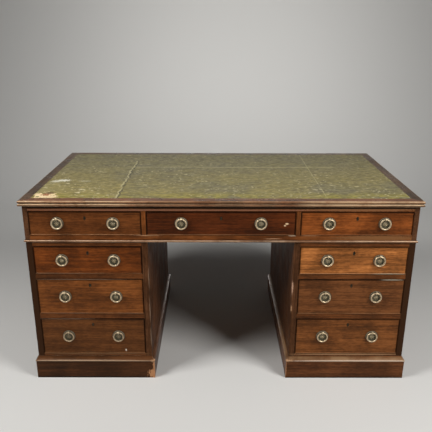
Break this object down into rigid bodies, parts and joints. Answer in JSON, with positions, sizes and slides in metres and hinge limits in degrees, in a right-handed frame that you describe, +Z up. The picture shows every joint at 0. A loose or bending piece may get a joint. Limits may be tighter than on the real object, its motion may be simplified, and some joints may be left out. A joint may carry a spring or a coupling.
{
  "type": "partners desk",
  "caption": "Pedestal partners desk with a leather-lined moulded top, frieze drawers front and back, graduated pedestal drawers with ring pulls, cupboards behind and moulded plinths.",
  "frame": {"origin": "on the floor under the middle of the desk", "axes": "+X to the right along the front, +Y to the back, +Z up"},
  "size_m": [1.525, 0.8424, 0.772],
  "materials": {
    "mahogany": "waxed and worn red-brown mahogany, rubbed pale along the edges",
    "leather": "worn olive-green desk leather with scuffs and seams",
    "aged_brass": "aged brass, dull and greenish in the hollows",
    "bright_brass": "brass rubbed bright by hands"
  },
  "bodies": {
    "desk": {"desk_top": "mahogany", "writing_leather": "leather", "frieze_case": "mahogany", "frieze_bead": "mahogany", "left_pedestal_case": "mahogany", "right_pedestal_case": "mahogany", "plinths": "mahogany", "cupboard_hinges": "aged_brass"},
    "front_left_frieze_drawer": {"front_left_frieze_drawer": "mahogany", "front_left_frieze_brassware": "aged_brass"},
    "front_left_frieze_ring_left": {"front_left_frieze_ring_left": "bright_brass"},
    "front_left_frieze_ring_right": {"front_left_frieze_ring_right": "bright_brass"},
    "front_centre_frieze_drawer": {"front_centre_frieze_drawer": "mahogany", "front_centre_frieze_brassware": "aged_brass"},
    "front_centre_frieze_ring_left": {"front_centre_frieze_ring_left": "bright_brass"},
    "front_centre_frieze_ring_right": {"front_centre_frieze_ring_right": "bright_brass"},
    "front_right_frieze_drawer": {"front_right_frieze_drawer": "mahogany", "front_right_frieze_brassware": "aged_brass"},
    "front_right_frieze_ring_left": {"front_right_frieze_ring_left": "bright_brass"},
    "front_right_frieze_ring_right": {"front_right_frieze_ring_right": "bright_brass"},
    "back_left_frieze_drawer": {"back_left_frieze_drawer": "mahogany", "back_left_frieze_brassware": "aged_brass"},
    "back_left_frieze_ring_left": {"back_left_frieze_ring_left": "bright_brass"},
    "back_left_frieze_ring_right": {"back_left_frieze_ring_right": "bright_brass"},
    "back_centre_frieze_drawer": {"back_centre_frieze_drawer": "mahogany", "back_centre_frieze_brassware": "aged_brass"},
    "back_centre_frieze_ring_left": {"back_centre_frieze_ring_left": "bright_brass"},
    "back_centre_frieze_ring_right": {"back_centre_frieze_ring_right": "bright_brass"},
    "back_right_frieze_drawer": {"back_right_frieze_drawer": "mahogany", "back_right_frieze_brassware": "aged_brass"},
    "back_right_frieze_ring_left": {"back_right_frieze_ring_left": "bright_brass"},
    "back_right_frieze_ring_right": {"back_right_frieze_ring_right": "bright_brass"},
    "left_upper_drawer": {"left_upper_drawer": "mahogany", "left_upper_brassware": "aged_brass"},
    "left_upper_ring_left": {"left_upper_ring_left": "bright_brass"},
    "left_upper_ring_right": {"left_upper_ring_right": "bright_brass"},
    "left_middle_drawer": {"left_middle_drawer": "mahogany", "left_middle_brassware": "aged_brass"},
    "left_middle_ring_left": {"left_middle_ring_left": "bright_brass"},
    "left_middle_ring_right": {"left_middle_ring_right": "bright_brass"},
    "left_lower_drawer": {"left_lower_drawer": "mahogany", "left_lower_brassware": "aged_brass"},
    "left_lower_ring_left": {"left_lower_ring_left": "bright_brass"},
    "left_lower_ring_right": {"left_lower_ring_right": "bright_brass"},
    "right_upper_drawer": {"right_upper_drawer": "mahogany", "right_upper_brassware": "aged_brass"},
    "right_upper_ring_left": {"right_upper_ring_left": "bright_brass"},
    "right_upper_ring_right": {"right_upper_ring_right": "bright_brass"},
    "right_middle_drawer": {"right_middle_drawer": "mahogany", "right_middle_brassware": "aged_brass"},
    "right_middle_ring_left": {"right_middle_ring_left": "bright_brass"},
    "right_middle_ring_right": {"right_middle_ring_right": "bright_brass"},
    "right_lower_drawer": {"right_lower_drawer": "mahogany", "right_lower_brassware": "aged_brass"},
    "right_lower_ring_left": {"right_lower_ring_left": "bright_brass"},
    "right_lower_ring_right": {"right_lower_ring_right": "bright_brass"},
    "left_cupboard_door": {"left_cupboard_door": "mahogany", "left_cupboard_brassware": "aged_brass"},
    "right_cupboard_door": {"right_cupboard_door": "mahogany", "right_cupboard_brassware": "aged_brass"}
  },
  "joints": [
    {"name": "front_left_frieze_slide", "type": "slide", "parent": "desk", "child": "front_left_frieze_drawer", "axis": [0, -1, 0], "range_m": [0, 0.29]},
    {"name": "front_centre_frieze_slide", "type": "slide", "parent": "desk", "child": "front_centre_frieze_drawer", "axis": [0, -1, 0], "range_m": [0, 0.29]},
    {"name": "front_right_frieze_slide", "type": "slide", "parent": "desk", "child": "front_right_frieze_drawer", "axis": [0, -1, 0], "range_m": [0, 0.29]},
    {"name": "back_left_frieze_slide", "type": "slide", "parent": "desk", "child": "back_left_frieze_drawer", "axis": [0, 1, 0], "range_m": [0, 0.29]},
    {"name": "back_centre_frieze_slide", "type": "slide", "parent": "desk", "child": "back_centre_frieze_drawer", "axis": [0, 1, 0], "range_m": [0, 0.29]},
    {"name": "back_right_frieze_slide", "type": "slide", "parent": "desk", "child": "back_right_frieze_drawer", "axis": [0, 1, 0], "range_m": [0, 0.29]},
    {"name": "left_upper_slide", "type": "slide", "parent": "desk", "child": "left_upper_drawer", "axis": [0, -1, 0], "range_m": [0, 0.34]},
    {"name": "left_middle_slide", "type": "slide", "parent": "desk", "child": "left_middle_drawer", "axis": [0, -1, 0], "range_m": [0, 0.34]},
    {"name": "left_lower_slide", "type": "slide", "parent": "desk", "child": "left_lower_drawer", "axis": [0, -1, 0], "range_m": [0, 0.34]},
    {"name": "right_upper_slide", "type": "slide", "parent": "desk", "child": "right_upper_drawer", "axis": [0, -1, 0], "range_m": [0, 0.34]},
    {"name": "right_middle_slide", "type": "slide", "parent": "desk", "child": "right_middle_drawer", "axis": [0, -1, 0], "range_m": [0, 0.34]},
    {"name": "right_lower_slide", "type": "slide", "parent": "desk", "child": "right_lower_drawer", "axis": [0, -1, 0], "range_m": [0, 0.34]},
    {"name": "left_cupboard_door_hinge", "type": "hinge", "parent": "desk", "child": "left_cupboard_door", "pos_m": [-0.72525, 0.4118, 0.3495], "axis": [0, 0, 1], "range_deg": [0, 100]},
    {"name": "right_cupboard_door_hinge", "type": "hinge", "parent": "desk", "child": "right_cupboard_door", "pos_m": [0.72525, 0.4118, 0.3495], "axis": [0, 0, -1], "range_deg": [0, 100]},
    {"name": "front_left_frieze_ring_left_swing", "type": "hinge", "parent": "front_left_frieze_drawer", "child": "front_left_frieze_ring_left", "pos_m": [-0.623, -0.4157, 0.699], "axis": [-1, 0, 0], "range_deg": [0, 120]},
    {"name": "front_left_frieze_ring_right_swing", "type": "hinge", "parent": "front_left_frieze_drawer", "child": "front_left_frieze_ring_right", "pos_m": [-0.411, -0.4157, 0.699], "axis": [-1, 0, 0], "range_deg": [0, 120]},
    {"name": "front_centre_frieze_ring_left_swing", "type": "hinge", "parent": "front_centre_frieze_drawer", "child": "front_centre_frieze_ring_left", "pos_m": [-0.1515, -0.4157, 0.699], "axis": [-1, 0, 0], "range_deg": [0, 120]},
    {"name": "front_centre_frieze_ring_right_swing", "type": "hinge", "parent": "front_centre_frieze_drawer", "child": "front_centre_frieze_ring_right", "pos_m": [0.1515, -0.4157, 0.699], "axis": [-1, 0, 0], "range_deg": [0, 120]},
    {"name": "front_right_frieze_ring_left_swing", "type": "hinge", "parent": "front_right_frieze_drawer", "child": "front_right_frieze_ring_left", "pos_m": [0.411, -0.4157, 0.699], "axis": [-1, 0, 0], "range_deg": [0, 120]},
    {"name": "front_right_frieze_ring_right_swing", "type": "hinge", "parent": "front_right_frieze_drawer", "child": "front_right_frieze_ring_right", "pos_m": [0.623, -0.4157, 0.699], "axis": [-1, 0, 0], "range_deg": [0, 120]},
    {"name": "back_left_frieze_ring_left_swing", "type": "hinge", "parent": "back_left_frieze_drawer", "child": "back_left_frieze_ring_left", "pos_m": [-0.623, 0.4157, 0.699], "axis": [1, 0, 0], "range_deg": [0, 120]},
    {"name": "back_left_frieze_ring_right_swing", "type": "hinge", "parent": "back_left_frieze_drawer", "child": "back_left_frieze_ring_right", "pos_m": [-0.411, 0.4157, 0.699], "axis": [1, 0, 0], "range_deg": [0, 120]},
    {"name": "back_centre_frieze_ring_left_swing", "type": "hinge", "parent": "back_centre_frieze_drawer", "child": "back_centre_frieze_ring_left", "pos_m": [-0.1515, 0.4157, 0.699], "axis": [1, 0, 0], "range_deg": [0, 120]},
    {"name": "back_centre_frieze_ring_right_swing", "type": "hinge", "parent": "back_centre_frieze_drawer", "child": "back_centre_frieze_ring_right", "pos_m": [0.1515, 0.4157, 0.699], "axis": [1, 0, 0], "range_deg": [0, 120]},
    {"name": "back_right_frieze_ring_left_swing", "type": "hinge", "parent": "back_right_frieze_drawer", "child": "back_right_frieze_ring_left", "pos_m": [0.411, 0.4157, 0.699], "axis": [1, 0, 0], "range_deg": [0, 120]},
    {"name": "back_right_frieze_ring_right_swing", "type": "hinge", "parent": "back_right_frieze_drawer", "child": "back_right_frieze_ring_right", "pos_m": [0.623, 0.4157, 0.699], "axis": [1, 0, 0], "range_deg": [0, 120]},
    {"name": "left_upper_ring_left_swing", "type": "hinge", "parent": "left_upper_drawer", "child": "left_upper_ring_left", "pos_m": [-0.617, -0.4157, 0.547], "axis": [-1, 0, 0], "range_deg": [0, 120]},
    {"name": "left_upper_ring_right_swing", "type": "hinge", "parent": "left_upper_drawer", "child": "left_upper_ring_right", "pos_m": [-0.415, -0.4157, 0.547], "axis": [-1, 0, 0], "range_deg": [0, 120]},
    {"name": "left_middle_ring_left_swing", "type": "hinge", "parent": "left_middle_drawer", "child": "left_middle_ring_left", "pos_m": [-0.617, -0.4157, 0.3905], "axis": [-1, 0, 0], "range_deg": [0, 120]},
    {"name": "left_middle_ring_right_swing", "type": "hinge", "parent": "left_middle_drawer", "child": "left_middle_ring_right", "pos_m": [-0.415, -0.4157, 0.3905], "axis": [-1, 0, 0], "range_deg": [0, 120]},
    {"name": "left_lower_ring_left_swing", "type": "hinge", "parent": "left_lower_drawer", "child": "left_lower_ring_left", "pos_m": [-0.617, -0.4157, 0.2115], "axis": [-1, 0, 0], "range_deg": [0, 120]},
    {"name": "left_lower_ring_right_swing", "type": "hinge", "parent": "left_lower_drawer", "child": "left_lower_ring_right", "pos_m": [-0.415, -0.4157, 0.2115], "axis": [-1, 0, 0], "range_deg": [0, 120]},
    {"name": "right_upper_ring_left_swing", "type": "hinge", "parent": "right_upper_drawer", "child": "right_upper_ring_left", "pos_m": [0.415, -0.4157, 0.547], "axis": [-1, 0, 0], "range_deg": [0, 120]},
    {"name": "right_upper_ring_right_swing", "type": "hinge", "parent": "right_upper_drawer", "child": "right_upper_ring_right", "pos_m": [0.617, -0.4157, 0.547], "axis": [-1, 0, 0], "range_deg": [0, 120]},
    {"name": "right_middle_ring_left_swing", "type": "hinge", "parent": "right_middle_drawer", "child": "right_middle_ring_left", "pos_m": [0.415, -0.4157, 0.3905], "axis": [-1, 0, 0], "range_deg": [0, 120]},
    {"name": "right_middle_ring_right_swing", "type": "hinge", "parent": "right_middle_drawer", "child": "right_middle_ring_right", "pos_m": [0.617, -0.4157, 0.3905], "axis": [-1, 0, 0], "range_deg": [0, 120]},
    {"name": "right_lower_ring_left_swing", "type": "hinge", "parent": "right_lower_drawer", "child": "right_lower_ring_left", "pos_m": [0.415, -0.4157, 0.2115], "axis": [-1, 0, 0], "range_deg": [0, 120]},
    {"name": "right_lower_ring_right_swing", "type": "hinge", "parent": "right_lower_drawer", "child": "right_lower_ring_right", "pos_m": [0.617, -0.4157, 0.2115], "axis": [-1, 0, 0], "range_deg": [0, 120]}
  ]
}
